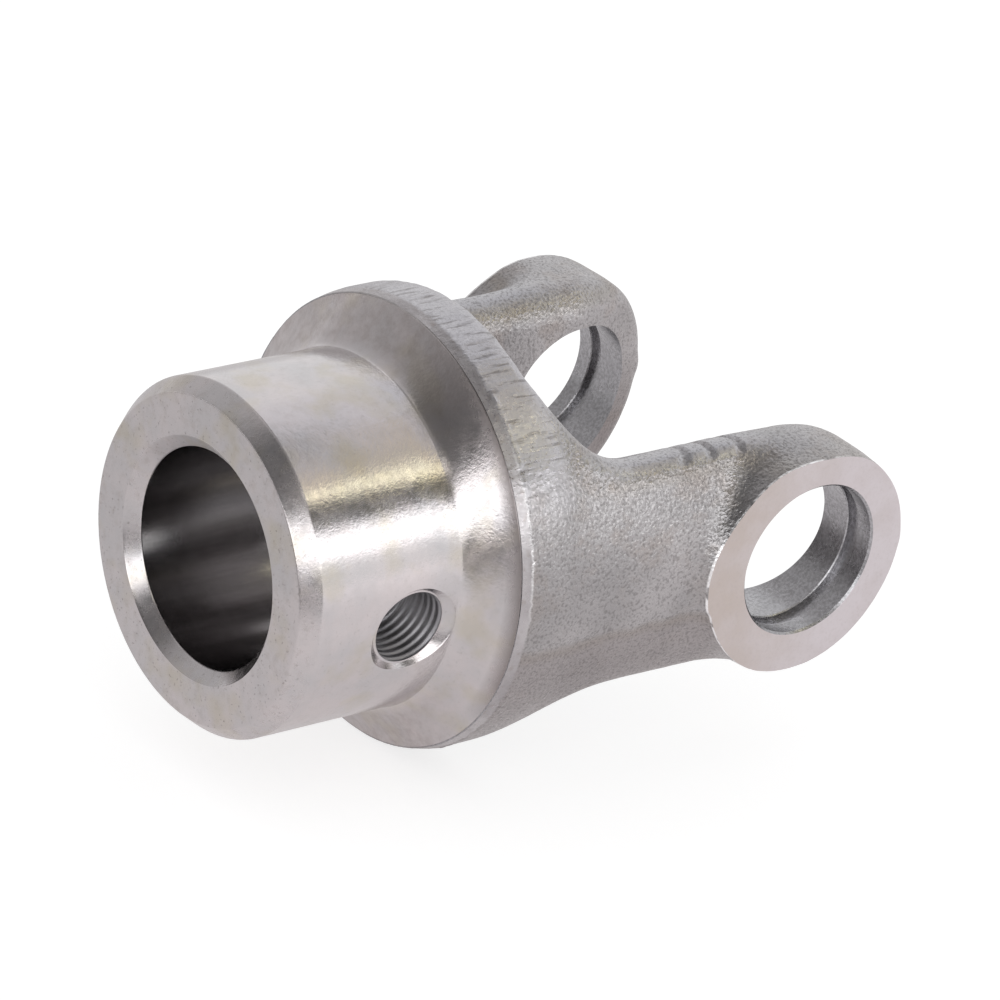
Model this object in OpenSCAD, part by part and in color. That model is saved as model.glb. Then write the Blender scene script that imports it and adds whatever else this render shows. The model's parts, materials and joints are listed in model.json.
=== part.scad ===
// Forged yoke of a small drive-shaft joint: a bored hub, a round flange and two ears that carry
// the bearing cups of the joint's cross. One steel forging, machined on the hub and the ears.
// The origin is the centre of the joint. The hub points to -X, the bearing bores lie along Y.

/* [Hub] */
// Outside diameter of the turned hub
hub_d = 48.8; // [44:0.1:54]
// Bore for the shaft
bore_d = 30; // [22:0.5:34]
// Distance from the hub's end to the centre of the joint
hub_reach = 79; // [70:0.5:100]
// Length of the chamfer on the outside of the hub
hub_chamfer = 2.4; // [0.5:0.1:4]
// Width of that chamfer across the end face
hub_chamfer_w = 1.9; // [0.5:0.1:3]
// Depth of the lead-in at the mouth of the shaft bore
lead_in = 1.3; // [0.3:0.1:3]
// Width of that lead-in
lead_in_w = 1.7; // [0.3:0.1:3]

/* [Flange] */
// Diameter of the forged flange
flange_d = 63; // [60:0.5:72]
// Diameter of the machined edge where the turned sweep ends
rim_d = 61.6; // [58:0.2:70]
// Distance from that machined edge to the centre of the joint
rim_reach = 49.2; // [46:0.2:56]
// Thickness of the flange at the bottom of the throat
flange_t = 10.1; // [7:0.1:16]
// Radius of the turned sweep between hub and flange
sweep_r = 8; // [6:0.5:14]
// Length of the turned sweep along the hub
sweep_l = 4.6; // [3:0.2:7]
// Length of the bevelled lip behind the machined edge
lip_l = 2; // [1:0.1:4]

/* [Ears] */
// Bore for the bearing cups
cup_d = 22; // [16:0.1:24]
// Distance across the outer faces of the two ears
ear_span = 64.8; // [60:0.2:74]
// Gap between the inner sides of the two ears, at the joint's centre
ear_gap = 39; // [36:0.1:44]
// Angle at which the inner sides fall away towards the ears' tips
ear_relief = 15; // [0:1:20]
// Diameter of an ear at its machined face
ear_d = 33.2; // [30:0.2:38]
// Diameter of the forged ear under that face
ear_waist_d = 33.8; // [31:0.2:40]
// How far the forged ears sit off the bores, back and down, as the dies left them
ear_offset = 0.2; // [0:0.1:0.8]
// Distance across the bearing cups, between the ring grooves
cup_span = 54.8; // [50:0.1:58]
// Width of the groove for the retaining ring
groove_w = 2.05; // [1.2:0.05:2.5]
// Depth of that groove in the bore wall
groove_depth = 0.9; // [0.4:0.1:1.5]

/* [Arms] */
// Height of an arm, across its straight part
arm_h = 33.2; // [26:0.2:36]
// Diameter of the round that the arms' outer sides lie on
arm_d = 62; // [58:0.2:66]
// Rounding of the inner edges of arms and ears
round_in = 5; // [1:0.1:6]
// Rounding of the arms' outer edges
round_out = 3; // [1:0.1:5]
// Radius in the corners of the throat
throat_r = 8; // [4:0.5:12]
// Radius where the arms' upper and lower sides run out into the flange
root_r = 12; // [5:0.5:14]

/* [Set screw] */
// Hole under the screw's thread
screw_d = 10.2; // [6:0.1:12]
// Distance from the hub's end to the hole
screw_from_end = 18; // [12:0.5:20]
// Angle of the hole below the line of the ears
screw_tilt = 5; // [0:1:90]
// Countersink at the mouth of the hole
screw_sink_d = 12.6; // [11:0.1:15]

/* [Hidden] */
$fn = 96;
// Extra length of a cut past the face it leaves
past = 1;
hub_r = hub_d / 2;
flange_r = flange_d / 2;
rim_r = rim_d / 2;
arm_r = arm_d / 2;
// Places along the hub's axis
hub_x = -hub_reach;
rim_x = -rim_reach;
sweep_x = rim_x - sweep_l;
throat_x = rim_x + flange_t;
flange_round = 0.8;
// The sweep's centre stands off the middle of the chord between its two ends
chord = [rim_r - hub_r, sweep_l];
stand_off = sqrt(sweep_r * sweep_r - (chord * chord) / 4);
sweep_mid = [(rim_r + hub_r) / 2, (rim_x + sweep_x) / 2];
sweep_centre = sweep_mid + stand_off * [chord[1], -chord[0]] / norm(chord);
// Steps round each part of an arm's outline, and stations along its root and its tip
corner_steps = 6;
side_steps = 8;
root_steps = 12;
tip_steps = 12;
arm_top = arm_h / 2;
// Radius of the ear's inner part, and the angle at which its skin stops short of the tip
tip_r = ear_waist_d / 2 - ear_offset;
tip_end = 88;
// Least width that an arm keeps along its upper edge
edge_min = 1.5;
// Most of an edge's width and of an arm's height that a rounding takes, and the flat left over
edge_share = 0.6;
height_share = 0.9;
flat_min = 0.1;

// How far a quarter round of radius r has risen after a run of t
function rise(r, t) = t >= r ? r : sqrt(max(0, r * r - (r - t) * (r - t)));
// Inner side of an arm at x: the throat's corner, the straight part, the relief and the tip
function inner(x) =
    ear_gap / 2 - throat_r + rise(throat_r, x - throat_x)
    + max(0, x) * tan(ear_relief) + round_in - rise(round_in, tip_r - x);
// Half height of an arm at x: the root, the straight part and the ear's round
function root_top(x) = arm_top + root_r - rise(root_r, x - throat_x);
function widest(x) = sqrt(arm_r * arm_r - pow(inner(x) + edge_min, 2));
function top(x) = x > 0 ? min(arm_top, sqrt(tip_r * tip_r - x * x)) : min(root_top(x), widest(x));
// Width of an arm along its upper edge
function edge_w(x) = sqrt(arm_r * arm_r - top(x) * top(x)) - inner(x);
// Roundings that fit on that edge, and their centres as [y, z]
function fit_out(x) = min(round_out, edge_share * edge_w(x), height_share * top(x));
function centre_out(x) =
    let (z = top(x) - fit_out(x), r = arm_r - fit_out(x)) [sqrt(r * r - z * z), z];
function fit_in(x) =
    min(round_in, centre_out(x)[0] - inner(x) - flat_min, height_share * top(x));
function centre_in(x) = [inner(x) + fit_in(x), top(x) - fit_in(x)];
// Points on an arc from angle a to angle b
function arc(c, r, a, b, n) =
    [for (i = [0 : n]) let (w = a + (b - a) * i / n) c + r * [cos(w), sin(w)]];
// Upper half of an arm's outline, from the inner side over the top to the outer side
function upper(x) =
    let (out = centre_out(x), low = atan2(out[1], out[0]))
    concat(
        arc(centre_in(x), fit_in(x), 180, 90, corner_steps),
        arc(out, fit_out(x), 90, low, corner_steps),
        [for (i = [1 : side_steps]) let (w = low * (1 - i / side_steps)) arm_r * [cos(w), sin(w)]]
    );
function outline(x) =
    let (u = upper(x), n = len(u))
    concat(u, [for (i = [n - 2 : -1 : 0]) [u[i][0], -u[i][1]]]);
// Stations along an arm: closest where the root turns and where the tip closes
stations = concat(
    [for (i = [1 : root_steps]) throat_x + root_r * (1 - cos(90 * i / root_steps))],
    [for (i = [0 : tip_steps]) tip_r * sin(tip_end * i / tip_steps)]
);

// Outline of hub and flange, as [radius, place along the axis]
module turned_outline() {
    polygon([
        [0, hub_x],
        [hub_r - hub_chamfer_w, hub_x],
        [hub_r, hub_x + hub_chamfer],
        [hub_r, rim_x + past],
        [0, rim_x + past]
    ]);
    difference() {
        translate([0, sweep_x]) square([rim_r, sweep_l + past]);
        translate(sweep_centre) circle(sweep_r);
    }
    difference() {
        polygon([
            [0, rim_x],
            [rim_r, rim_x],
            [flange_r, rim_x + lip_l],
            [flange_r, throat_x],
            [0, throat_x]
        ]);
        translate([flange_r - flange_round, throat_x - flange_round]) difference() {
            square(flange_round + past);
            circle(flange_round);
        }
    }
}

module hub_and_flange() {
    rotate([0, 90, 0]) rotate_extrude() turned_outline();
}

// One arm with the inner part of its ear, as a skin over its outlines
module arm() {
    // The first ring is the root's first outline, sunk into the flange
    sunk = [for (p = outline(stations[0])) [throat_x - past, p[0], p[1]]];
    rings = concat([sunk], [for (x = stations) [for (p = outline(x)) [x, p[0], p[1]]]]);
    n = len(rings[0]);
    m = len(rings);
    sides = [for (k = [0 : m - 2], i = [0 : n - 1])
        let (a = k * n + i, b = k * n + (i + 1) % n) [a, b, b + n, a + n]];
    split = [for (q = sides) each [[q[0], q[1], q[2]], [q[0], q[2], q[3]]]];
    ends = [[for (i = [n - 1 : -1 : 0]) i], [for (i = [0 : n - 1]) (m - 1) * n + i]];
    polyhedron(points = [for (r = rings) each r], faces = concat(split, ends));
}

// The round boss under one machined face, drafted towards that face
module boss() {
    waist_r = ear_waist_d / 2;
    waist_y = ear_gap / 2 + round_in;
    foot = 2.5;
    rotate([-90, 0, 0]) rotate_extrude() polygon([
        [0, waist_y - foot],
        [waist_r - 2 * foot, waist_y - foot],
        [waist_r, waist_y + foot],
        [ear_d / 2, ear_span / 2],
        [0, ear_span / 2]
    ]);
}

module forging() {
    hub_and_flange();
    for (side = [0, 1]) mirror([0, side, 0]) {
        arm();
        translate([-ear_offset, 0, -ear_offset]) boss();
    }
}

module shaft_bore() {
    translate([hub_x - past, 0, 0]) rotate([0, 90, 0])
        cylinder(d = bore_d, h = throat_x - hub_x + 2 * past);
    translate([hub_x, 0, 0]) rotate([0, 90, 0])
        cylinder(r1 = bore_d / 2 + lead_in_w, r2 = bore_d / 2, h = lead_in);
}

module cup_bores() {
    rotate([90, 0, 0]) cylinder(d = cup_d, h = ear_span + 2 * past, center = true);
    for (side = [0, 1]) mirror([0, side, 0]) translate([0, cup_span / 2, 0]) rotate([-90, 0, 0])
        cylinder(r = cup_d / 2 + groove_depth, h = groove_w);
}

module screw_hole() {
    // The countersink's wall opens by as much as it is deep, and runs on past the hub
    sink = (screw_sink_d - screw_d) / 2 + past;
    translate([hub_x + screw_from_end, 0, 0]) rotate([90 + screw_tilt, 0, 0]) {
        cylinder(d = screw_d, h = hub_r + past);
        translate([0, 0, hub_r + past - sink])
            cylinder(d1 = screw_d, d2 = screw_d + 2 * sink, h = sink);
    }
}

module yoke() {
    color("silver") difference() {
        forging();
        shaft_bore();
        cup_bores();
        screw_hole();
    }
}

yoke();
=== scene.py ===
"""Looks of the forged yoke: one watertight mesh of the forging with its machined faces, its
materials, the studio and the camera. Lengths in the modelling part are millimetres."""
import json
import math

import bpy
import numpy as np
from mathutils import Matrix, Vector

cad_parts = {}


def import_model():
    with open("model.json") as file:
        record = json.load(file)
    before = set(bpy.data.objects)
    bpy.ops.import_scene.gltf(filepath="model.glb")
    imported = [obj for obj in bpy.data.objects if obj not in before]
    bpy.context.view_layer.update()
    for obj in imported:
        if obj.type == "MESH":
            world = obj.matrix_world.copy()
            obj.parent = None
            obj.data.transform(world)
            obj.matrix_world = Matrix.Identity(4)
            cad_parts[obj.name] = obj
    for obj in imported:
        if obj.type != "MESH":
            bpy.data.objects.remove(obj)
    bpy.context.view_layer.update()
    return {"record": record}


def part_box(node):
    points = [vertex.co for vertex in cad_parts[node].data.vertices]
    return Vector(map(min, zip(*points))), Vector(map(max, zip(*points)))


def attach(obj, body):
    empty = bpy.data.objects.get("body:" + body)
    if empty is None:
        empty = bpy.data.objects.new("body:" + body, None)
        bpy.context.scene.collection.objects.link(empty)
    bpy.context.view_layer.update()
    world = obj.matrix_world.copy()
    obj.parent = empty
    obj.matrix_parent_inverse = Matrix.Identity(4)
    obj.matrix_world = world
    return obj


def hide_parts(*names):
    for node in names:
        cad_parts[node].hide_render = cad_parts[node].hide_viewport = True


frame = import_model()

MM = 0.001
mounts = {m["name"]: m for m in frame["record"]["mounts"]}
cad_low, cad_high = [np.array(c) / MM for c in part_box("yoke")]

# Machined sizes that the frame gives
CUP_R = mounts["bearing_bores"]["dims"]["r_mm"]
EAR_Y = mounts["bearing_bores"]["dims"]["length_mm"] / 2
BORE_R = mounts["hub_bore"]["dims"]["r_mm"]
SCREW_R = mounts["set_screw_hole"]["dims"]["r_mm"]
SCREW_AXIS = np.array(mounts["set_screw_hole"]["axis"])
SCREW_X = mounts["set_screw_hole"]["pos_m"][0] / MM
HUB_X = cad_low[0]
FLANGE_R = cad_high[2]

# Hub: its radius, and length and width of its chamfer and of the lead-in at its bore
HUB_R = 24.4
CHAMFER_L, CHAMFER_W = 2.4, 1.9
LEAD_L, LEAD_W = 1.7, 1.7
# Machined edge where the turned sweep ends, and the sweep's length along the hub
RIM_X, RIM_R = -49.2, 30.85
SWEEP_L = 5.0
# Slope of the sweep in degrees, against the share of its way from the hub to the rim
SWEEP_TURN = [(0, 3), (0.08, 25), (0.18, 40), (0.4, 53), (0.8, 58), (1, 63)]
# Where the bevelled lip reaches the flange's radius, and about where its finish ends in a burr
LIP_X, LIP_END = RIM_X + 1.8, RIM_X + 1.5
# Radii between which the flange's rim begins
RIM_START, RIM_FULL = 30.3, 30.8
# Flange's side towards the throat
THROAT_X = -39.1

# Gap between the ears, and the angle at which their inner sides fall away
GAP = 39.0
RELIEF = math.radians(15)
# Half height of an arm, radius of the round that the arms' outer sides lie on, radius of an ear
ARM_TOP = 16.7
ARM_R = 31.0
EAR_R = 16.6
# Heights between which an arm's flat top begins, and places between which its root has run out
TOP_START, TOP_FULL = 15.2, 16.2
ROOT_OUT, ARM_FULL = -36, -31
# Roundings: inner edges, inner edges at the tips, outer edges and the least of an outer edge
ROUND_IN, ROUND_TIP, ROUND_OUT, ROUND_LEAST = 5.0, 2.8, 1.4, 0.5
# Fillets: the throat's corners, the arms' roots and the valleys beside the bosses
THROAT_R, ROOT_R, VALLEY_R = 8.0, 12.0, 2.6
# How far the dies left the near ear and the far ear off the bores, back and down
NEAR_SHIFT, FAR_SHIFT = (0.2, 0.4), (0.2, -0.15)
# How much a boss widens with each mm under its machined face, and the rounding of its crown
BOSS_DRAFT = 0.05
CROWN_R = 2.0
# Groove for the retaining ring: place of its inner wall, width and depth
GROOVE_Y, GROOVE_W, GROOVE_D = 27.4, 2.05, 0.9

# Places (x, y) of the dents on the near arm, their radius and depth
DENTS = [(-20.9, -23.5), (-16.9, -24.5), (-12.0, -24.8)]
DENT_R, DENT_DEEP = 1.9, 0.4

# Set screw: outer radius and pitch of its thread, radius and depth of its countersink
THREAD_R, PITCH = 5.4, 1.25
SINK_R, SINK_DEEP = 6.85, 1.3

# Grid of the forging's field: its step, its margin round the forging and how often it is blurred
STEP = 0.42
MARGIN = 2.5
BLUR_PASSES = 5
# Steps from a cell's first corner to each of its eight
CELL_CORNERS =[np.array([i, j, k]) for i in (0, 1) for j in (0, 1) for k in (0, 1)]

# Half size of the blocks that cut the machined faces
FAR = 60
# Edges that turn by more than this stay sharp
SHARP = math.radians(32)

# Colours of the forged skin
SKIN_DARK, SKIN_LIGHT = (0.345, 0.335, 0.34), (0.435, 0.42, 0.425)
# Painted shade on the arms' lower sides, under the flash's border
PAINTED_SHADE_UNDER_FLASH = (0.3, 0.265, 0.265)
BROWN_STAIN = (0.33, 0.28, 0.25)
FLASH_LINE = (0.3, 0.26, 0.21)
SMOOTH_TOP = (0.5, 0.495, 0.52)
# Painted shade on the ears' inner sides near the tips
PAINTED_SHADE_EAR_INSIDE = (0.2, 0.17, 0.165)
GRAIN_PITS = (0.14, 0.13, 0.13)
SCORED_RIM = (0.53, 0.52, 0.55)
SCORE_LINES = (0.17, 0.155, 0.155)
LIP_LIGHT, LIP_DARK = (0.5, 0.48, 0.49), (0.38, 0.36, 0.37)
LIP_DIRT = (0.3, 0.25, 0.22)
# Near-white worn steel of the faces' edges and the lip's burr, partly a painted highlight there
WORN_STEEL_AND_HIGHLIGHT = (0.92, 0.91, 0.92)

# Colours of the machined faces
TURNED_LIGHT, TURNED_DARK = (0.62, 0.58, 0.585), (0.56, 0.54, 0.55)
TURNED_STAIN = (0.46, 0.42, 0.4)
YELLOW_STAIN = (0.52, 0.47, 0.35)
DARK_SPECKS = (0.24, 0.22, 0.21)
# Painted shade along the sweep's outer edge on the near side
PAINTED_SWEEP_EDGE_SHADE = (0.19, 0.16, 0.155)
SWEEP_STAIN = (0.36, 0.32, 0.31)
BORE_DARK, BORE_LIGHT = (0.32, 0.31, 0.31), (0.4, 0.385, 0.39)
CUP_DARK, CUP_LIGHT = (0.31, 0.305, 0.315), (0.45, 0.445, 0.465)
FACE_LIGHT, FACE_DARK = (0.64, 0.6, 0.62), (0.6, 0.555, 0.565)
FACE_WARM = (0.55, 0.49, 0.46)
FACE_STAIN = (0.45, 0.41, 0.4)
THREAD_DARK, THREAD_LIGHT = (0.3, 0.295, 0.31), (0.4, 0.395, 0.41)


def smooth(a, b, t):
    """0 below a, 1 above b and a soft step between."""
    k = np.clip((t - a) / (b - a), 0, 1)
    return k * k * (3 - 2 * k)


def bell(t, width):
    """1 at 0, falling off softly to both sides."""
    return np.exp(-(t / width) ** 2)


def round_and(a, b, r):
    """Common part of two fields, with its edge rounded to radius r."""
    corner = np.hypot(np.maximum(a + r, 0), np.maximum(b + r, 0))
    return np.minimum(np.maximum(a, b), -r) + corner


def round_or(a, b, r):
    """Sum of two fields, with its corner filled to radius r."""
    return -round_and(-a, -b, r)


class Noise:
    """Smooth noise of a given grain, the same on each run."""

    CELLS = 32

    def __init__(self, seed, grain):
        cube = (self.CELLS, self.CELLS, self.CELLS)
        self.cells = np.random.default_rng(seed).uniform(-1, 1, cube).astype(np.float32)
        self.grain = grain

    def __call__(self, x, y, z):
        x, y, z = np.broadcast_arrays(x, y, z)
        total = 0
        spots = [c / self.grain for c in (x, y, z)]
        low = [np.floor(s).astype(int) for s in spots]
        part = [smooth(0, 1, s - f) for s, f in zip(spots, low)]
        for i, j, k in CELL_CORNERS:
            weight = (part[0] if i else 1 - part[0]) * (part[1] if j else 1 - part[1])
            weight = weight * (part[2] if k else 1 - part[2])
            corner = [(n + step) % self.CELLS for n, step in zip(low, (i, j, k))]
            total = total + weight * self.cells[tuple(corner)]
        return total


def throat_field(x, ay):
    """Below 0 beside the throat, where the arms are, and behind it, in the flange."""
    straight = GAP / 2 - ay
    relieved = (GAP / 2 + x * math.tan(RELIEF) - ay) * math.cos(RELIEF)
    return round_or(np.maximum(straight, relieved), x - THROAT_X, THROAT_R)


def side_field(x, ay, z, shift_x, shift_z):
    """Below 0 between an arm's upper and lower sides, inside the ear's round and in the flange."""
    drop = shift_z * smooth(-14, 2, x)
    height = ARM_TOP + (EAR_R - ARM_TOP) * smooth(-10, 2, x)
    stadium = np.hypot(np.maximum(x + shift_x, 0), z + drop) - height - 0.1 * smooth(27, 30, ay)
    return round_or(stadium, x - THROAT_X, ROOT_R)


def outer_field(x, y, z, shift_x, shift_z):
    """Below 0 inside the round that flange and arms lie on, and in the drafted boss of each ear."""
    barrel_r = ARM_R + (FLANGE_R - ARM_R) * (1 - smooth(-43, -37, x))
    lip = (FLANGE_R - RIM_R - 0.15) * (1 - smooth(RIM_X, LIP_X, x))
    barrel = np.hypot(y, z) - barrel_r + lip
    cone = np.hypot(x + shift_x, z + shift_z) - EAR_R - BOSS_DRAFT * (EAR_Y - np.abs(y))
    # The near boss is flat on top and lower towards its face, while the far one keeps its round
    crown = z - ARM_TOP - 0.5 + 0.2 * np.maximum(-y - 25, 0) - 9 * (y > 0)
    return round_or(barrel, round_and(cone, crown, CROWN_R), VALLEY_R)


def forged_field(x, y, z):
    """Below 0 in the forging, above 0 outside, about the distance in mm near its skin."""
    ay = np.abs(y)
    shift_x, shift_z = [np.where(y < 0, a, b) for a, b in zip(NEAR_SHIFT, FAR_SHIFT)]
    along = smooth(-40, -34, x) * (1 - 0.8 * smooth(-15, -8, x))
    outer_edge = ROUND_LEAST + (ROUND_OUT - ROUND_LEAST) * along
    inner_edge = ROUND_IN + (ROUND_TIP - ROUND_IN) * smooth(-2, 9, x)
    arms = round_and(throat_field(x, ay), side_field(x, ay, z, shift_x, shift_z), inner_edge)
    body = round_and(arms, outer_field(x, y, z, shift_x, shift_z), outer_edge)
    # The bosses stand past their faces, which are cut later
    return np.maximum(body, ay - EAR_Y - 1.2)


def blurred(field, passes):
    """The field with its creases softened."""
    for _ in range(passes):
        for axis in range(3):
            edge = [(1, 1) if a == axis else (0, 0) for a in range(3)]
            wide = np.pad(field, edge, mode="edge")
            n = field.shape[axis]
            part = [np.take(wide, range(s, s + n), axis=axis) for s in (0, 1, 2)]
            field = (part[0] + 2 * part[1] + part[2]) / 4
    return field


def mixed_cells(inside):
    """The grid's cells that the skin passes through."""
    size = np.array(inside.shape) - 1
    count = sum(inside[tuple(slice(c, c + n) for c, n in zip(corner, size))].astype(np.int8)
                for corner in CELL_CORNERS)
    return (count > 0) & (count < len(CELL_CORNERS))


def cell_points(field, cells):
    """In each cell the middle of the places where the cell's edges cross the skin."""
    total = np.zeros((len(cells), 3))
    crossings = np.zeros(len(cells))
    for a in CELL_CORNERS:
        for axis in range(3):
            if a[axis]:
                continue
            b = a.copy()
            b[axis] = 1
            fa = field[tuple((cells + a).T)]
            fb = field[tuple((cells + b).T)]
            hit = (fa < 0) != (fb < 0)
            part = fa[hit] / (fa[hit] - fb[hit])
            total[hit] += a + part[:, None] * (b - a)
            crossings[hit] += 1
    return cells + total / crossings[:, None]


def skin_quads(inside, number):
    """Quads, facing outwards, between the four cells round each grid edge that the skin crosses.
    The array number gives the number of each cell's point."""
    quads = []
    for axis in range(3):
        u, v = (axis + 1) % 3, (axis + 2) % 3
        place = np.argwhere(np.diff(inside, axis=axis))
        for side in (u, v):
            place = place[(place[:, side] > 0) & (place[:, side] < inside.shape[side] - 1)]
        ring = []
        for du, dv in ((-1, -1), (0, -1), (0, 0), (-1, 0)):
            cell = place.copy()
            cell[:, u] += du
            cell[:, v] += dv
            ring.append(number[tuple(cell.T)])
        quad = np.stack(ring, axis=1)
        inward = ~inside[tuple(place.T)]
        quad[inward] = quad[inward][:, ::-1]
        quads.append(quad)
    return np.concatenate(quads)


def surface_net(field, origin, step):
    """Points and quads of the skin where the field passes 0."""
    inside = field < 0
    mixed = mixed_cells(inside)
    cells = np.argwhere(mixed)
    number = np.full(mixed.shape, -1, dtype=np.int64)
    number[mixed] = np.arange(len(cells))
    points = np.array(origin) + step * cell_points(field, cells)
    return points, skin_quads(inside, number)


def relaxed(points, quads, times=3):
    """The points, each drawn towards the middle of its neighbours."""
    ends = np.concatenate([quads[:, [0, 1]], quads[:, [1, 2]], quads[:, [2, 3]], quads[:, [3, 0]]])
    for _ in range(times):
        total = np.zeros_like(points)
        count = np.zeros(len(points))
        for a, b in ((0, 1), (1, 0)):
            for axis in range(3):
                total[:, axis] += np.bincount(ends[:, a], points[ends[:, b], axis], len(points))
            count += np.bincount(ends[:, a], minlength=len(points))
        points = 0.5 * points + 0.5 * total / count[:, None]
    return points


def outward(points, quads):
    """Normal of the skin at each of its points."""
    a, b, c, d = [points[quads[:, k]] for k in range(4)]
    facing = np.cross(c - a, d - b)
    total = np.zeros_like(points)
    for k in range(4):
        for axis in range(3):
            total[:, axis] += np.bincount(quads[:, k], facing[:, axis], len(points))
    return total / np.linalg.norm(total, axis=1)[:, None]


def waves(x, y, z):
    """Waves that the dies left, and the grain of the blasting."""
    coarse = 0.07 * Noise(1, 8.0)(x, y, z)
    middle = 0.016 * Noise(2, 2.3)(x, y, z)
    fine = 0.016 * Noise(3, 0.9)(x, y, z)
    return coarse + middle + fine


def trimming_marks(x, y, z, r):
    """Marks of the trimming tool, along the flange's rim above and below the arms."""
    on_rim = smooth(RIM_START, RIM_FULL, r) * smooth(LIP_X, LIP_X + 0.8, x)
    on_rim = on_rim * (1 - smooth(-40, -38.5, x))
    around = np.arctan2(-y, np.abs(z)) * FLANGE_R
    trimmed = on_rim * (1 - smooth(16, 24, np.abs(around + 3)))
    wide = trimmed * 0.07 * Noise(4, 1.1)(0.12 * x, around, 0 * z)
    narrow = trimmed * 0.04 * Noise(5, 0.55)(0.1 * x, around, 0 * z)
    return wide + narrow


def lip_burr(x, y, z, r):
    """Burr along the outer edge of the lip, thickest on the near side."""
    ragged = 0.5 + 0.5 * Noise(6, 1.6)(0 * x, y, z)
    burr = bell(x - LIP_END - 0.1 - 0.3 * ragged, 0.35) * smooth(RIM_START, RIM_FULL, r)
    return 0.2 * burr * ragged * smooth(-0.2, 0.6, -y / FLANGE_R)


def flash_band(x, y, z):
    """Band where the flash was trimmed off the arms' outer sides, with a step at its lower border."""
    border = -5.0 + 0.02 * (x + 28) + 0.5 * Noise(7, 6.0)(x, 0 * y, 0 * z)
    band = smooth(-0.7, 0.7, z - border) * (1 - smooth(3, 13, z))
    along = smooth(-46, -41, x) * (1 - smooth(-17, -12, x)) * smooth(24, 27, np.abs(y))
    return 0.34 * band * along


def flash_stubs(x, y, z):
    """Stub of flash at the ears' tips, larger on the far ear."""
    stub = np.where(y > 0, 0.25, 0.12) * bell(z - 0.5, 1.6) * smooth(9, 14, x)
    return stub * smooth(20, 23, np.abs(y))


def dents(x, y, z):
    """Depth of the forging die's dents on the near arm's upper inner edge, each half a ring."""
    deep = 0
    for dent_x, dent_y in DENTS:
        away = np.hypot(x - dent_x, 0.6 * (y - dent_y))
        half_ring = bell(away - DENT_R, 0.42) * smooth(-0.5, 0.8, x - dent_x)
        deep = deep + DENT_DEEP * half_ring * smooth(TOP_START, TOP_FULL, z)
    return deep


def far_step(x, y, z):
    """Depth of the step along the far arm's top, where its outer side was trimmed."""
    along = smooth(-40, -37, x) * (1 - smooth(-9, -3, x))
    return 0.3 * smooth(24.8, 25.6, y) * smooth(10, 14, z) * along


def relief(x, y, z):
    """How far the real skin stands off the smooth one."""
    r = np.hypot(y, z)
    rise = waves(x, y, z) + trimming_marks(x, y, z, r) + lip_burr(x, y, z, r)
    rise = rise + flash_band(x, y, z) + flash_stubs(x, y, z)
    return rise - dents(x, y, z) - far_step(x, y, z)


def make_object(name, points, faces):
    """A mesh object from points in mm. The faces are a list or an array of quads."""
    if isinstance(faces, np.ndarray):
        faces = faces.tolist()
    mesh = bpy.data.meshes.new(name)
    mesh.from_pydata((np.asarray(points) * MM).tolist(), [], faces)
    mesh.update()
    obj = bpy.data.objects.new(name, mesh)
    bpy.context.scene.collection.objects.link(obj)
    return obj


def eased(path, radius, steps=3):
    """The path with each of its inner corners rounded."""
    path = [np.array(p, float) for p in path]
    out = [path[0]]
    for before, corner, after in zip(path, path[1:], path[2:]):
        a, b = before - corner, after - corner
        la, lb = np.linalg.norm(a), np.linalg.norm(b)
        reach = min(radius, 0.45 * la, 0.45 * lb)
        start, end = corner + a / la * reach, corner + b / lb * reach
        for i in range(steps + 1):
            t = i / steps
            out.append((1 - t) ** 2 * start + 2 * t * (1 - t) * corner + t * t * end)
    out.append(path[-1])
    return out


def ringed(name, start, rings, end):
    """A solid over rings of points round X, each ring a row of the array, closed at the points
    start and end."""
    turns = rings.shape[1]
    points = np.concatenate([[start], rings.reshape(-1, 3), [end]])
    last = len(points) - 1
    last_ring = last - turns
    faces = []
    for i in range(turns):
        j = (i + 1) % turns
        faces.append((0, 1 + j, 1 + i))
        for a in range(1, last_ring, turns):
            b = a + turns
            faces.append((a + i, a + j, b + j, b + i))
        faces.append((last_ring + i, last_ring + j, last))
    return make_object(name, points, faces)


def turned(name, path, turns=256):
    """A solid turned about X from its path of (x, radius), which starts and ends on the axis."""
    angle = 2 * math.pi * np.arange(turns) / turns
    x, r = np.array(path[1:-1]).T[:, :, None]
    rings = np.stack(np.broadcast_arrays(x, r * np.cos(angle), r * np.sin(angle)), -1)
    return ringed(name, (path[0][0], 0, 0), rings, (path[-1][0], 0, 0))


def aim(obj, direction, place=(0, 0, 0)):
    """Turns the object's X axis to a direction and moves it, all in its mesh."""
    turn = Vector((1, 0, 0)).rotation_difference(Vector(direction)).to_matrix().to_4x4()
    obj.data.transform(Matrix.Translation(Vector(place) * MM) @ turn)
    return obj


def combine(obj, other, operation):
    """Boolean of two solids, which uses up the second."""
    mod = obj.modifiers.new("cut", "BOOLEAN")
    mod.operation = operation
    mod.solver = "MANIFOLD"
    mod.object = other
    bpy.context.view_layer.objects.active = obj
    with bpy.context.temp_override(object=obj, active_object=obj):
        bpy.ops.object.modifier_apply(modifier=mod.name)
    bpy.data.objects.remove(other)


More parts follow.
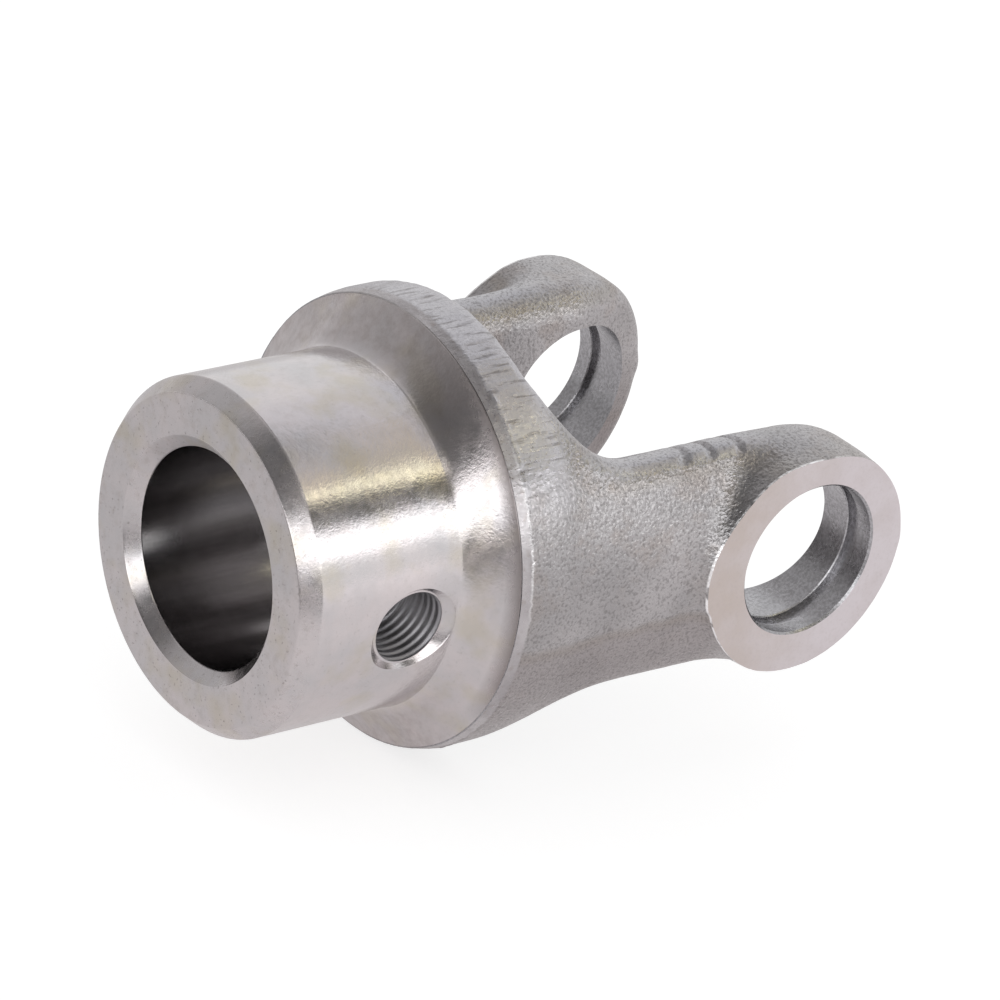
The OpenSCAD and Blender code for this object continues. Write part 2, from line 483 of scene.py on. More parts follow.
def forging():
    """The forging's skin, from a field on a grid, kept inside the CAD model's box."""
    low = np.array([RIM_X, -EAR_Y, -FLANGE_R]) - MARGIN
    high = np.array([EAR_R, EAR_Y, FLANGE_R]) + MARGIN
    counts = np.ceil((high - low) / STEP).astype(int)
    x, y, z = [(low[a] + STEP * np.arange(counts[a])).astype(np.float32) for a in range(3)]
    x, y, z = x[:, None, None], y[None, :, None], z[None, None, :]
    field = blurred(forged_field(x, y, z), BLUR_PASSES)
    # The skin starts a little before the rim, where it is cut later
    field = np.maximum(field, RIM_X - 0.6 - x)
    points, quads = surface_net(field, low, STEP)
    points = relaxed(points, quads)
    points = points + relief(*points.T)[:, None] * outward(points, quads)
    for axis in (0, 2):
        points[:, axis] = np.clip(points[:, axis], cad_low[axis], cad_high[axis])
    return make_object("forging", points, quads)


def sweep_path(steps=28):
    """Points (x, radius) of the sweep, run up from its slopes and fitted between hub and rim."""
    share = (np.arange(steps) + 0.5) / steps
    slope = np.radians(np.interp(share, *zip(*SWEEP_TURN)))
    run = np.concatenate([[0], np.cumsum(np.cos(slope))])
    rise = np.concatenate([[0], np.cumsum(np.sin(slope))])
    x = RIM_X - SWEEP_L + SWEEP_L * run / run[-1]
    r = HUB_R + (RIM_R - HUB_R) * rise / rise[-1]
    return list(zip(x, r))


def hub_path():
    """Outline of the turned hub with its sweep, as (x, radius). Its end is sunk into the forging."""
    sweep = sweep_path()
    start = (sweep[0][0] - 3, HUB_R)
    front = eased([(HUB_X, 0), (HUB_X, HUB_R - CHAMFER_W), (HUB_X + CHAMFER_L, HUB_R), start], 0.25)
    sunk = RIM_X + 4
    return front + sweep + [(RIM_X + 0.1, RIM_R + 0.05), (sunk, RIM_R - 1), (sunk, 0)]


def bore_cutter():
    """The shaft bore with its lead-in, from before the hub's end into the throat."""
    start, end = HUB_X - 1, THROAT_X + 3
    mouth_r = BORE_R + LEAD_W
    wall = [(start, mouth_r + 1), (HUB_X - 0.15, mouth_r + 0.25), (HUB_X + LEAD_L, BORE_R),
            (end, BORE_R)]
    return turned("bore", [(start, 0)] + eased(wall, 0.25) + [(end, 0)])


def ear_cutter():
    """Both bearing bores with their grooves, along Y, with eased edges."""
    ease = 0.3
    past = 2
    groove_r, groove_end = CUP_R + GROOVE_D, GROOVE_Y + GROOVE_W
    half = [(GROOVE_Y - ease / 2, CUP_R), (GROOVE_Y, CUP_R + ease / 2), (GROOVE_Y, groove_r),
            (groove_end, groove_r), (groove_end, CUP_R + ease / 2), (groove_end + ease / 2, CUP_R),
            (EAR_Y - ease, CUP_R), (EAR_Y + past, CUP_R + past + ease)]
    path = [(-along, r) for along, r in reversed(half)] + half
    path = [(-EAR_Y - past, 0)] + path + [(EAR_Y + past, 0)]
    return aim(turned("ear bores", path, 192), (0, 1, 0))


def block(name, low, high):
    """A plain block between two corners."""
    low, high = np.array(low, float), np.array(high, float)
    points = [np.where(corner, high, low) for corner in CELL_CORNERS]
    faces = [(0, 1, 3, 2), (4, 6, 7, 5), (0, 4, 5, 1), (2, 3, 7, 6), (0, 2, 6, 4), (1, 5, 7, 3)]
    return make_object(name, points, faces)


def thread_cutter():
    """The set screw's hole: a core with the thread's groove wound round it, along +X."""
    start, end = BORE_R - 4, HUB_R + 2
    around, rows_per_pitch = 72, 11
    along = np.linspace(start, end, int((end - start) / PITCH * rows_per_pitch))[:, None]
    turn = np.arange(around) / around
    wave = np.abs(((along / PITCH - turn) % 1) - 0.5) * 2
    r = SCREW_R + 0.05 + (THREAD_R - SCREW_R) * smooth(0.1, 0.9, 1 - wave)
    angle = 2 * math.pi * turn
    rings = np.stack(np.broadcast_arrays(along, r * np.cos(angle), r * np.sin(angle)), -1)
    return ringed("thread", (start, 0, 0), rings, (end, 0, 0))


def sink_cutter():
    """The countersink at the mouth of the set screw's hole, along +X."""
    bottom, end = HUB_R - SINK_DEEP, HUB_R + 2
    wall = [(bottom, SINK_R - SINK_DEEP), (HUB_R - 0.1, SINK_R), (end, SINK_R)]
    return turned("sink", [(bottom, 0)] + eased(wall, 0.5, 5) + [(end, 0)], 128)


def yoke_mesh():
    """The forging with its faces cut, the turned hub joined on and all holes cut."""
    body = forging()
    for side in (-1, 1):
        low, high = sorted([side * EAR_Y, side * (EAR_Y + 10)])
        combine(body, block("face", (-FAR, low, -FAR), (FAR, high, FAR)), "DIFFERENCE")
    combine(body, block("front", (-FAR, -FAR, -FAR), (RIM_X + 0.08, FAR, FAR)), "DIFFERENCE")
    combine(body, turned("hub", hub_path()), "UNION")
    combine(body, bore_cutter(), "DIFFERENCE")
    combine(body, ear_cutter(), "DIFFERENCE")
    for cutter in (thread_cutter(), sink_cutter()):
        combine(body, aim(cutter, SCREW_AXIS, (SCREW_X, 0, 0)), "DIFFERENCE")
    return body


# Numbers of the finishes, in the order of the yoke's materials
FORGED, TURNED, BORED, FACED, THREADED = range(5)


def face_vectors(mesh, key):
    """One vector for each face: its centre or its normal."""
    values = np.empty(len(mesh.polygons) * 3)
    mesh.polygons.foreach_get(key, values)
    return values.reshape(-1, 3)


def in_thread(x, y, z):
    """Whether a place is on the thread, between the shaft bore and the countersink."""
    place = np.stack([x - SCREW_X, y, z], 1)
    along = place @ SCREW_AXIS
    aside = np.linalg.norm(place - along[:, None] * SCREW_AXIS, axis=1)
    return (aside < THREAD_R + 0.05) & (along > BORE_R - 1) & (along < HUB_R - SINK_DEEP)


def sort_faces(obj):
    """Gives each face the number of its finish, by where it lies."""
    mesh = obj.data
    x, y, z = (face_vectors(mesh, "center") / MM).T
    facing_y = np.abs(face_vectors(mesh, "normal")[:, 1])
    r, ay = np.hypot(y, z), np.abs(y)
    finish = np.full(len(x), FORGED)
    finish[(x < RIM_X + 0.06) & (r > BORE_R + 0.02)] = TURNED
    finish[(r < BORE_R + 0.03) & (x < THROAT_X + 0.6)] = BORED
    finish[ay > EAR_Y - 0.01] = FACED
    in_ear = (ay > GAP / 2 - 1) & (ay < EAR_Y - 0.05)
    wall = (facing_y < 0.6) | (ay > GROOVE_Y - 1)
    finish[in_ear & wall & (np.hypot(x, z) < CUP_R + GROOVE_D + 0.05)] = BORED
    finish[in_thread(x, y, z) & (r > BORE_R + 0.05)] = THREADED
    mesh.polygons.foreach_set("material_index", finish.astype(np.int32))
    mesh.polygons.foreach_set("use_smooth", np.ones(len(x), bool))
    mesh.set_sharp_from_angle(angle=SHARP)
    mesh.update()


class Nodes:
    """A material's or a world's nodes, added one by one."""

    def __init__(self, owner):
        owner.use_nodes = True
        self.tree = owner.node_tree
        self.tree.nodes.clear()

    def add(self, kind, settings=(), **inputs):
        """A new node. Each input is named, with _ for a space, or numbered, as i0, and takes a
        value or another node's output."""
        node = self.tree.nodes.new(kind)
        for key, value in dict(settings).items():
            setattr(node, key, value)
        for key, value in inputs.items():
            name = key.replace("_", " ")
            socket = node.inputs[int(key[1:])] if key[1:].isdigit() else node.inputs[name]
            if isinstance(value, bpy.types.NodeSocket):
                self.tree.links.new(value, socket)
            else:
                socket.default_value = value
        return node

    def math(self, operation, a, b=0.0):
        """Result of an operation on one or two values."""
        return self.add("ShaderNodeMath", {"operation": operation}, i0=a, i1=b).outputs[0]

    def chain(self, operation, values):
        """Result of an operation on several values, one after another."""
        result = values[0]
        for value in values[1:]:
            result = self.math(operation, result, value)
        return result

    def times(self, *values):
        """Product of the values."""
        return self.chain("MULTIPLY", values)

    def plus(self, *values):
        """Sum of the values."""
        return self.chain("ADD", values)

    def most(self, *values):
        """Largest of the values."""
        return self.chain("MAXIMUM", values)


def mm_place(nodes, scale=(1, 1, 1)):
    """The surface's place in mm, stretched."""
    place = nodes.add("ShaderNodeTexCoord").outputs["Object"]
    factor = tuple(k / MM for k in scale)
    return nodes.add("ShaderNodeVectorMath", {"operation": "MULTIPLY"}, i0=place, i1=factor).outputs[0]


def place_parts(nodes):
    """The surface's x, y, z and its distance from the hub's axis, in mm."""
    x, y, z = nodes.add("ShaderNodeSeparateXYZ", i0=mm_place(nodes)).outputs
    return x, y, z, nodes.math("SQRT", nodes.plus(nodes.times(y, y), nodes.times(z, z)))


def noise(nodes, grains, detail=2.0, rough=0.5):
    """Noise with so many grains in a mm, in all directions or, as a tuple, along x, y and z."""
    if not isinstance(grains, tuple):
        grains = (grains, grains, grains)
    node = nodes.add("ShaderNodeTexNoise", Vector=mm_place(nodes, grains), Scale=1.0, Detail=detail,
                     Roughness=rough)
    return node.outputs[0]


def dimples(nodes, per_mm):
    """Overlapping pits as shot leaves them."""
    node = nodes.add("ShaderNodeTexVoronoi", {"feature": "SMOOTH_F1"},
                     Vector=mm_place(nodes, (per_mm, per_mm, per_mm)), Scale=1.0, Smoothness=0.35)
    return node.outputs["Distance"]


def span(nodes, value, low, high, to_low, to_high):
    """to_low where the value is low or less, to_high where it is high or more, even between."""
    node = nodes.add("ShaderNodeMapRange", Value=value, i1=low, i2=high, i3=to_low, i4=to_high)
    return node.outputs[0]


def blend(nodes, factor, one, other):
    """Colour between one, at 0, and other, at 1."""
    node = nodes.add("ShaderNodeMix", {"data_type": "RGBA"}, i0=factor)
    for socket, value in ((node.inputs[6], one), (node.inputs[7], other)):
        if isinstance(value, bpy.types.NodeSocket):
            nodes.tree.links.new(value, socket)
        else:
            socket.default_value = (*value, 1)
    return node.outputs[2]


def layered(nodes, colour, layers):
    """The colour under layers of (cover, colour), the last one on top."""
    for cover, layer in layers:
        colour = blend(nodes, cover, colour, layer)
    return colour


def bump(nodes, height, depth_mm, normal=None):
    """Normal of a surface that stands up by the height, on top of another bump's if given."""
    node = nodes.add("ShaderNodeBump", Strength=1.0, Distance=depth_mm * MM, Height=height)
    if normal is not None:
        nodes.tree.links.new(normal, node.inputs["Normal"])
    return node.outputs[0]


def metal(mat_name, look):
    """A metal whose colour, roughness and normal come from look(nodes)."""
    mat = bpy.data.materials.new(mat_name)
    nodes = Nodes(mat)
    colour, roughness, normal = look(nodes)
    shader = nodes.add("ShaderNodeBsdfPrincipled", Base_Color=colour, Metallic=1.0,
                       Roughness=roughness, Normal=normal)
    nodes.add("ShaderNodeOutputMaterial", Surface=shader.outputs[0])
    return mat


def skin_colour(nodes, x, z, stains):
    """Patches and brown stains of the forged skin. Under the border of the trimmed flash it carries
    painted shade, darker and pinkish, and a line runs along that border and under the arms' upper edges."""
    patches = noise(nodes, 0.1, 3.0)
    waver = nodes.times(noise(nodes, (0.3, 0.02, 0.02), 2.0), 2.0)
    height_here = nodes.plus(z, waver)
    # Below the flash's border, where the shade is painted; the line along the border uses it too
    under = span(nodes, height_here, -5.2, -3.6, 1, 0)
    border = nodes.times(under, span(nodes, height_here, -6.6, -4.6, 0, 1))
    ridge = nodes.times(
        span(nodes, z, 13.2, 14.4, 0, 1),
        span(nodes, z, 14.8, 15.8, 1, 0),
        span(nodes, x, ROOT_OUT, ARM_FULL, 0, 1),
    )
    brown = nodes.times(span(nodes, stains, 0.5, 0.66, 0, 0.42), span(nodes, z, -2, 6, 0.3, 1))
    colour = blend(nodes, span(nodes, patches, 0.35, 0.65, 0, 1), SKIN_DARK, SKIN_LIGHT)
    return layered(nodes, colour, [
        # Painted shade under the flash's border
        (nodes.times(under, 0.5), PAINTED_SHADE_UNDER_FLASH),
        (brown, BROWN_STAIN),
        (nodes.most(nodes.times(border, 0.35), nodes.times(ridge, 0.25)), FLASH_LINE),
    ])


def scored_rim(nodes, x, z, r):
    """Cover of the rim's top, which is scored along X."""
    return nodes.times(
        span(nodes, r, 30.4, 30.9, 0, 1),
        span(nodes, x, -40.5, -39.0, 1, 0),
        span(nodes, z, 12.0, 20.0, 0, 1),
    )


def smooth_tops(nodes, x, z):
    """Cover of the arms' upper sides, faint over the ears."""
    return nodes.times(
        span(nodes, z, TOP_START, TOP_FULL, 0, 1),
        span(nodes, x, ROOT_OUT, ARM_FULL, 0, 1),
        span(nodes, x, -11, -3, 1, 0.25),
    )


def shaded_ear_insides(nodes, x, y, z):
    """Cover of painted shade on the ears' inner sides near the tips, strongest at the bottom."""
    return nodes.times(
        span(nodes, x, 3, 9, 0, 1),
        span(nodes, nodes.math("ABSOLUTE", y), 25.5, 27, 1, 0),
        span(nodes, z, -4, 4, 1, 0.2),
    )


def worn_and_highlit_edges(nodes, x, y):
    """Cover of the edge round the machined faces, worn bright and with a painted highlight, on the hub's
    side.
    """
    return nodes.times(
        span(nodes, nodes.math("ABSOLUTE", y), EAR_Y - 0.34, EAR_Y - 0.2, 0, 1),
        span(nodes, x, -2, 5, 1, 0),
        span(nodes, noise(nodes, 0.5, 3.0), 0.36, 0.48, 0, 1),
    )


def lip_and_burr(nodes, x, y, z, stains):
    """Cover of the lip, and of the burr that it ends in, worn bright and with a painted highlight, on the
    near side.
    """
    ragged = nodes.times(noise(nodes, (0.4, 0.9, 0.9), 4.0, 0.7), 0.9)
    at_edge = nodes.math("SUBTRACT", x, ragged)
    lip = span(nodes, at_edge, LIP_END - 0.6, LIP_END - 0.3, 1, 0)
    # Burr worn bright with a painted highlight, on the near side and towards the top
    burr = nodes.times(
        span(nodes, at_edge, LIP_END - 0.65, LIP_END - 0.5, 0, 1),
        span(nodes, at_edge, LIP_END - 0.4, LIP_END - 0.2, 1, 0),
        span(nodes, y, -25, -20, 1, 0),
        span(nodes, z, -3, 5, 0, 0.55),
        span(nodes, stains, 0.4, 0.55, 0.2, 1),
    )
    return lip, burr


def lip_colour(nodes):
    """Colour of the bevelled lip beside the turned sweep."""
    patches = noise(nodes, 0.2, 3.0)
    dirt = span(nodes, noise(nodes, 0.8, 4.0, 0.65), 0.55, 0.7, 0, 0.35)
    colour = blend(nodes, span(nodes, patches, 0.4, 0.65, 0, 1), LIP_LIGHT, LIP_DARK)
    return blend(nodes, dirt, colour, LIP_DIRT)


def forged_look(nodes):
    """Blasted skin, calmer on the lower sides, the arms' tops, the lip and the scored rim."""
    x, y, z, r = place_parts(nodes)
    grain = noise(nodes, 2.6, 1.0)
    lines = noise(nodes, (0.22, 1.5, 1.5), 3.0, 0.6)
    stains = noise(nodes, 0.18, 5.0, 0.65)
    scored = scored_rim(nodes, x, z, r)
    top = smooth_tops(nodes, x, z)
    lip, burr = lip_and_burr(nodes, x, y, z, stains)
    colour = layered(nodes, skin_colour(nodes, x, z, stains), [
        (nodes.times(top, 0.7), SMOOTH_TOP),
        # Painted shade on the ears' inner sides
        (nodes.times(shaded_ear_insides(nodes, x, y, z), 0.6), PAINTED_SHADE_EAR_INSIDE),
        (span(nodes, grain, 0.32, 0.5, 0.45, 0), GRAIN_PITS),
        (nodes.times(scored, 0.7), SCORED_RIM),
        (nodes.times(span(nodes, lines, 0.36, 0.46, 0.6, 0), scored), SCORE_LINES),
        (lip, lip_colour(nodes)),
        # Worn steel with a painted highlight along the faces' edges and the burr
        (nodes.most(worn_and_highlit_edges(nodes, x, y), burr), WORN_STEEL_AND_HIGHLIGHT),
    ])
    rough_side = span(nodes, z, -9.0, -1.0, 0.4, 1.0)
    calm = nodes.math("SUBTRACT", 1.0, nodes.times(nodes.most(scored, top, lip), 0.75))
    blasted = nodes.plus(grain, nodes.times(dimples(nodes, 1.5), 0.9))
    height = nodes.plus(nodes.times(blasted, rough_side, calm), nodes.times(lines, scored, 0.7))
    roughness = span(nodes, grain, 0.35, 0.7, 0.4, 0.25)
    return colour, roughness, bump(nodes, height, 0.088)


def turned_colour(nodes, x, y, r, mottle, edge):
    """Bright steel with stains and specks, strongest on the end face, and a darker sweep: stained above and
    below, with painted shade along its outer edge on the near side.
    """
    end = span(nodes, x, HUB_X + 0.4, HUB_X + 2.5, 1, 0)
    patches = noise(nodes, 0.11, 5.0, 0.6)
    yellow = span(nodes, noise(nodes, 0.14, 3.0), 0.52, 0.68, 0, 0.4)
    stains = nodes.times(span(nodes, mottle, 0.5, 0.7, 0, 0.4), span(nodes, end, 0, 1, 0.35, 1))
    specks = span(nodes, noise(nodes, 2.2, 1.0), 0.66, 0.74, 0, 0.5)
    # The sweep is stained above and below, and not on its near side
    on_sweep = nodes.times(
        span(nodes, r, HUB_R + 0.2, HUB_R + 1.6, 0, 1),
        span(nodes, y, -24, -14, 0, 1),
        span(nodes, mottle, 0.35, 0.65, 0.25, 0.55),
    )
    colour = blend(nodes, span(nodes, patches, 0.4, 0.62, 0, 1), TURNED_LIGHT, TURNED_DARK)
    return layered(nodes, colour, [
        (stains, TURNED_STAIN),
        (yellow, YELLOW_STAIN),
        (nodes.times(specks, span(nodes, end, 0, 1, 0.3, 1)), DARK_SPECKS),
        # Painted shade along the sweep's outer edge
        (nodes.times(edge, 0.7), PAINTED_SWEEP_EDGE_SHADE),
        (on_sweep, SWEEP_STAIN),
    ])


def turned_look(nodes):
    """Bright turned steel, duller on the chamfer, at the sweep's near edge and atop the lead-in, with
    painted shade along that edge.
    """
    x, y, z, r = place_parts(nodes)
    rings = noise(nodes, (6.0, 0.02, 0.02), 2.0)
    fine = noise(nodes, 2.2, 3.0, 0.6)
    mottle = noise(nodes, 0.7, 4.0, 0.65)
    chamfer = nodes.times(
        span(nodes, x, HUB_X + 0.1, HUB_X + 0.3, 0, 1),
        span(nodes, x, HUB_X + 2.3, HUB_X + 2.5, 1, 0),
    )
    # Band along the sweep's outer edge on the near side: duller there, and painted shade in the colour
    edge = nodes.times(
        span(nodes, r, 28.8, 30.8, 0, 1),
        span(nodes, y, -18, -8, 1, 0),
        span(nodes, z, -18, -10, 0, 1),
    )
    lead = span(nodes, r, BORE_R + LEAD_W, BORE_R + LEAD_W + 0.3, 1, 0)
    roughness = nodes.plus(
        span(nodes, mottle, 0.35, 0.7, 0.15, 0.25),
        nodes.times(chamfer, 0.06),
        nodes.times(edge, 0.14),
        nodes.times(lead, span(nodes, z, 5, 11, 0, 0.35)),
    )
    height = nodes.times(nodes.plus(fine, mottle), span(nodes, lead, 0, 1, 1, 0.25))
    normal = bump(nodes, height, 0.017, bump(nodes, rings, 0.0014))
    return turned_colour(nodes, x, y, r, mottle, edge), roughness, normal


def bored_look(nodes):
    """Smooth and streaked along the shaft in the hub, dull and mottled in the ears."""
    y = place_parts(nodes)[1]
    ear = span(nodes, nodes.math("ABSOLUTE", y), 16, 18, 0, 1)
    fine = noise(nodes, 2.5, 3.0, 0.6)
    patches = noise(nodes, 0.3, 3.0)
    streaks = noise(nodes, (0.03, 0.7, 0.7), 3.0, 0.6)
    mottle = noise(nodes, 2.2, 4.0, 0.7)
    in_hub = blend(nodes, span(nodes, streaks, 0.35, 0.65, 0, 1), BORE_DARK, BORE_LIGHT)
    in_ear = blend(nodes, span(nodes, mottle, 0.4, 0.6, 0, 1), CUP_DARK, CUP_LIGHT)
    roughness = nodes.plus(span(nodes, patches, 0.35, 0.7, 0.15, 0.21), nodes.times(ear, 0.1))
    height = nodes.times(fine, span(nodes, ear, 0, 1, 0.4, 1.8))
    return blend(nodes, ear, in_hub, in_ear), roughness, bump(nodes, height, 0.018)


def faced_look(nodes):
    """Machined faces of the ears: fine and even, warmer towards the hub."""
    x = place_parts(nodes)[0]
    fine = noise(nodes, 2.2, 3.0, 0.6)
    patches = noise(nodes, 0.15, 4.0, 0.6)
    stains = noise(nodes, 1.6, 4.0, 0.7)
    warm = nodes.times(span(nodes, x, -13, 4, 1, 0), span(nodes, patches, 0.35, 0.6, 0.6, 1))
    colour = blend(nodes, span(nodes, patches, 0.4, 0.62, 0, 1), FACE_LIGHT, FACE_DARK)
    colour = layered(nodes, colour, [
        (warm, FACE_WARM),
        (span(nodes, stains, 0.5, 0.75, 0, 0.3), FACE_STAIN),
    ])
    return colour, span(nodes, fine, 0.3, 0.7, 0.28, 0.38), bump(nodes, fine, 0.01)


def thread_look(nodes):
    """Dull steel of the set screw's thread."""
    fine = noise(nodes, 3.0, 2.0)
    colour = blend(nodes, fine, THREAD_DARK, THREAD_LIGHT)
    return colour, span(nodes, fine, 0.3, 0.7, 0.4, 0.5), bump(nodes, fine, 0.02)


def floor_material():
    """White to the camera, with the object's shadow on it. In reflections it is a pinkish sheet,
    lighter towards the ears, dark beyond the sheet's edge and white again far off."""
    mat = bpy.data.materials.new("studio_floor")
    nodes = Nodes(mat)
    light = nodes.add("ShaderNodeLightPath").outputs
    glossy = nodes.most(light["Is Glossy Ray"], light["Is Transmission Ray"])
    place = nodes.add("ShaderNodeTexCoord").outputs["Object"]
    x, y, _ = nodes.add("ShaderNodeSeparateXYZ", i0=place).outputs
    # Distances in metres, out past the hub's end and across towards the ears
    out = nodes.plus(nodes.times(x, -0.96), nodes.times(y, -0.29))
    across = nodes.math("SUBTRACT", nodes.times(x, 0.64), nodes.times(y, 0.77))
    dark = nodes.times(span(nodes, out, 0.15, 0.3, 0, 0.65), glossy)
    kept = nodes.math("SUBTRACT", 1.0, dark)
    sheet = nodes.plus(span(nodes, across, -0.12, 0.03, 0.36, 0.6), span(nodes, across, 0.1, 0.45, 0, 0.25))
    far = nodes.times(span(nodes, out, 0.65, 0.85, 0, 1.6), glossy)
    level = nodes.plus(nodes.times(sheet, glossy, kept), far, nodes.times(light["Is Camera Ray"], 0.72))
    tint = blend(nodes, glossy, (1, 1, 1), (1, 0.95, 0.955))
    glow = nodes.add("ShaderNodeEmission", Color=tint, Strength=level)
    grey = nodes.times(kept, 0.5)
    colour = nodes.add("ShaderNodeCombineColor", i0=grey, i1=grey, i2=grey).outputs[0]
    skin = nodes.add("ShaderNodeBsdfDiffuse", Color=colour)
    both = nodes.add("ShaderNodeAddShader", i0=glow.outputs[0], i1=skin.outputs[0])
    nodes.add("ShaderNodeOutputMaterial", Surface=both.outputs[0])
    return mat


def floor():
    """A wide floor under the yoke, in metres."""
    size = 12
    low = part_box("yoke")[0][2]
    mesh = bpy.data.meshes.new("floor")
    mesh.from_pydata([(-size, -size, low), (size, -size, low), (size, size, low), (-size, size, low)],
                     [], [(0, 1, 2, 3)])
    sheet = bpy.data.objects.new("floor", mesh)
    bpy.context.scene.collection.objects.link(sheet)
    mesh.materials.append(floor_material())


def world():
    """White to the camera and in reflections, and a little weaker as light on dull faces."""
    studio = bpy.data.worlds.new("studio")
    bpy.context.scene.world = studio
    nodes = Nodes(studio)
    light = nodes.add("ShaderNodeLightPath").outputs
    seen = nodes.most(light["Is Camera Ray"], light["Is Glossy Ray"], light["Is Transmission Ray"])
    level = nodes.plus(nodes.times(seen, 0.3), 0.7)
    back = nodes.add("ShaderNodeBackground", Color=(1, 1, 1, 1), Strength=level)
    nodes.add("ShaderNodeOutputWorld", Surface=back.outputs[0])


def card_sheet(name, stations, soft, reach):
    """A curved sheet round the object. Its points carry its light level and its cover, which
    fades out over soft degrees along its edges."""
    given = np.array(stations, float)
    across, up = 80, 24
    azimuth = np.linspace(given[0, 0], given[-1, 0], across)[:, None]
    low, high, level = [np.interp(azimuth, given[:, 0], given[:, k]) for k in (1, 2, 3)]
    elevation = low + (high - low) * np.linspace(0, 1, up)
    cover = smooth(0, soft, azimuth - azimuth[0]) * smooth(0, soft, azimuth[-1] - azimuth)
    cover = cover * smooth(0, soft, elevation - low) * smooth(0, soft, high - elevation)
    a, e = np.radians(azimuth), np.radians(elevation)
    x, y, z = np.cos(e) * np.cos(a), np.cos(e) * np.sin(a), np.sin(e)
    number = np.arange(cover.size).reshape(cover.shape)
    faces = np.stack([number[:-1, :-1], number[:-1, 1:], number[1:, 1:], number[1:, :-1]], -1)
    points = reach / MM * np.stack([x, y, z], -1)
    sheet = make_object(name, points.reshape(-1, 3), faces.reshape(-1, 4))
    for key, values in (("level", level + 0 * cover), ("cover", cover)):
        layer = sheet.data.attributes.new(key, "FLOAT", "POINT")
        layer.data.foreach_set("value", values.ravel().astype(np.float32))
    return sheet


def card_material(name, tint):
    """A glow of the sheet's own level, clear where its cover is 0."""
    mat = bpy.data.materials.new(name)
    nodes = Nodes(mat)
    strength = nodes.add("ShaderNodeAttribute", {"attribute_name": "level"}).outputs["Fac"]
    share = nodes.add("ShaderNodeAttribute", {"attribute_name": "cover"}).outputs["Fac"]
    glow = nodes.add("ShaderNodeEmission", Color=(*tint, 1), Strength=strength)
    clear = nodes.add("ShaderNodeBsdfTransparent")
    both = nodes.add("ShaderNodeMixShader", i0=share, i1=clear.outputs[0], i2=glow.outputs[0])
    nodes.add("ShaderNodeOutputMaterial", Surface=both.outputs[0])
    return mat


def card(name, stations, tint, soft, reach):
    """A curved card at a distance of reach metres, seen in reflections only. Each station gives
    azimuth, lowest and highest elevation, in degrees, and light level. Azimuth 0 is along +X, 90
    along +Y."""
    sheet = card_sheet(name, stations, soft, reach)
    sheet.data.materials.append(card_material(name, tint))
    for ray in ("camera", "diffuse", "shadow", "volume_scatter"):
        setattr(sheet, "visible_" + ray, False)


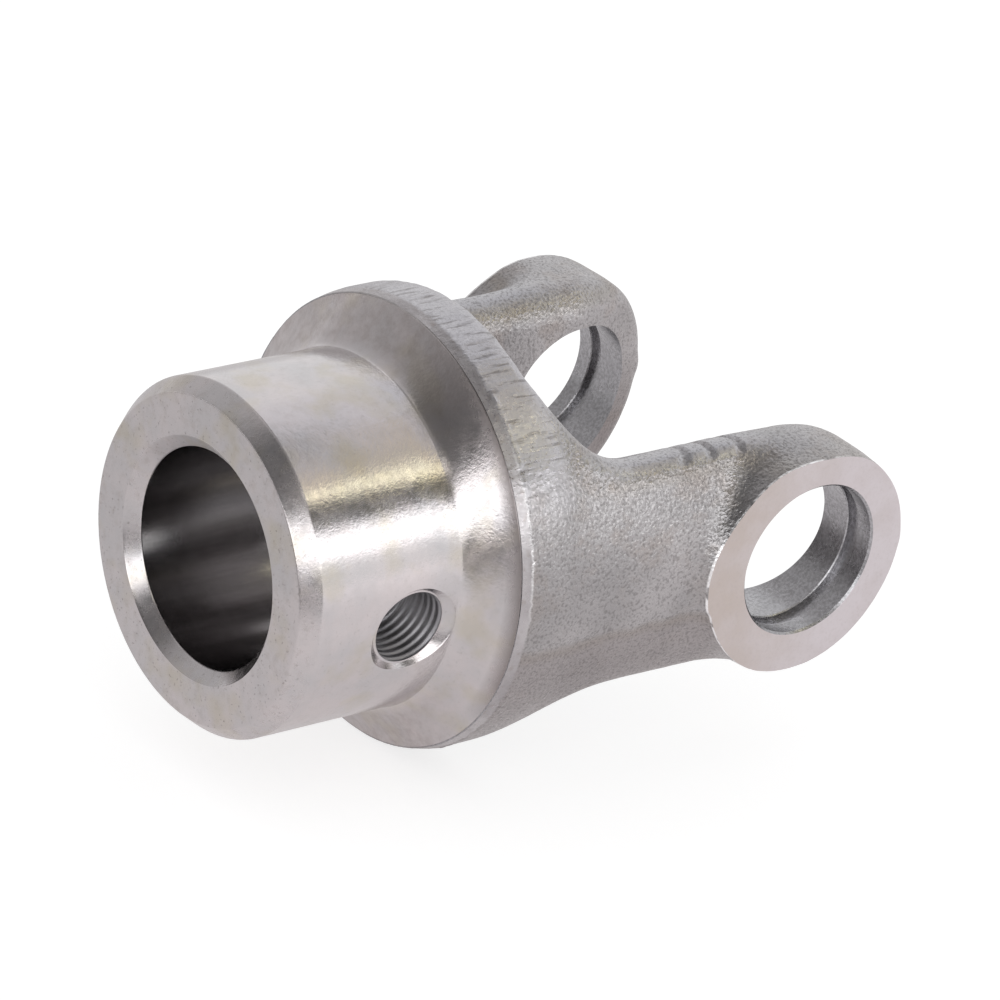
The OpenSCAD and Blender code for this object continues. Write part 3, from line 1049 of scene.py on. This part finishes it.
def cards():
    """What the steel mirrors: the dim room and the part overhead, the window behind the camera with
    the sill under it, the ceiling, a warm wall over the ears, and a long strip lamp and its dimmer
    end with the dark gap beside them."""
    card("room", [(58, -2, 96, 0.75), (90, -2, 96, 0.62), (120, -2, 96, 0.58), (135, -2, 96, 0.52),
                  (147, -2, 96, 0.42), (158, -2, 96, 0.27), (170, -2, 96, 0.17), (205, -2, 96, 0.18),
                  (215, 4, 96, 0.2), (235, 8, 96, 0.24), (250, 20, 96, 0.28), (290, 28, 96, 0.34),
                  (315, 32, 96, 0.36)], tint=(1, 0.98, 0.98), soft=10, reach=1.7)
    card("overhead", [(-60, 56, 96, 0.32), (80, 56, 96, 0.36)],
         tint=(1, 0.98, 0.97), soft=8, reach=1.65)
    card("window", [(-190, -6, 4, 2.3), (-183, -6, 8, 2.3), (-176, -6, 13.6, 2.3), (-168, -6, 20, 2.3),
                    (-157, 0.5, 26, 2.3), (-150, 3.5, 29, 2.3), (-140, 6, 34, 2.3), (-120, 11, 38, 2.3),
                    (-100, 13, 38, 2.3), (-60, 12.5, 31, 2.3), (-42, 12.5, 29, 2.3)],
         tint=(1, 1, 1), soft=4, reach=1.4)
    card("sill", [(-164, -6, 1.5, 0.1), (-150, -4, 5, 0.12), (-140, -2, 7.5, 0.15), (-105, -2, 9, 0.25),
                  (-90, -2, 9, 0.4)], tint=(1, 1, 1), soft=2.5, reach=1.3)
    card("ceiling", [(-48, 50, 66, 0.66), (-10, 42, 67, 0.76), (50, 37, 68, 0.92)],
         tint=(0.99, 0.99, 1.02), soft=7, reach=1.6)
    card("warm wall", [(-52, 40, 58, 0.68), (-20, 42, 60, 0.72), (12, 42, 60, 0.72)],
         tint=(1, 0.91, 0.75), soft=6, reach=1.55)
    card("gap", [(-158, 24, 33, 0.25), (-126, 38, 48, 0.3), (-95, 38, 53, 0.3), (-62, 30, 50, 0.18),
                 (-34, 31, 41, 0.18)], tint=(1, 0.97, 0.92), soft=1.5, reach=1.5)
    card("strip", [(-60, 48.5, 54, 2.1), (-37, 39, 48, 2.3), (-28, 37.5, 50, 2.3)],
         tint=(1, 0.94, 0.68), soft=2, reach=1.45)
    card("strip end", [(-150, 38, 41, 1.2), (-140, 43, 47.5, 1.6), (-126, 48.5, 54, 1.8),
                       (-95, 53, 59, 1.7), (-57, 47.5, 53.5, 1.8)],
         tint=(1, 0.96, 0.86), soft=2, reach=1.45)


def camera():
    """The photograph's view: the camera's place in metres, and the picture's right and down."""
    place = Vector((-0.53574, -0.57024, 0.37677))
    right = Vector((0.78362, -0.60545, 0.13917))
    down = Vector((-0.17537, -0.43049, -0.88539))
    data = bpy.data.cameras.new("camera")
    data.sensor_width = 36
    data.lens = 225.6
    data.clip_start = 0.01
    obj = bpy.data.objects.new("camera", data)
    turn = Matrix((right, -down, right.cross(-down))).transposed()
    obj.matrix_world = Matrix.Translation(place) @ turn.to_4x4()
    bpy.context.scene.collection.objects.link(obj)
    bpy.context.scene.camera = obj


yoke = yoke_mesh()
yoke.name = "yoke_forging"
yoke.data.materials.clear()
for name, look in (
    ("forged_skin", forged_look),
    ("turned_steel", turned_look),
    ("bored_steel", bored_look),
    ("faced_steel", faced_look),
    ("screw_thread", thread_look),
):
    yoke.data.materials.append(metal(name, look))
sort_faces(yoke)
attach(yoke, "root")
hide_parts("yoke")
floor()
world()
cards()
camera()
bpy.context.scene.view_settings.view_transform = "Standard"
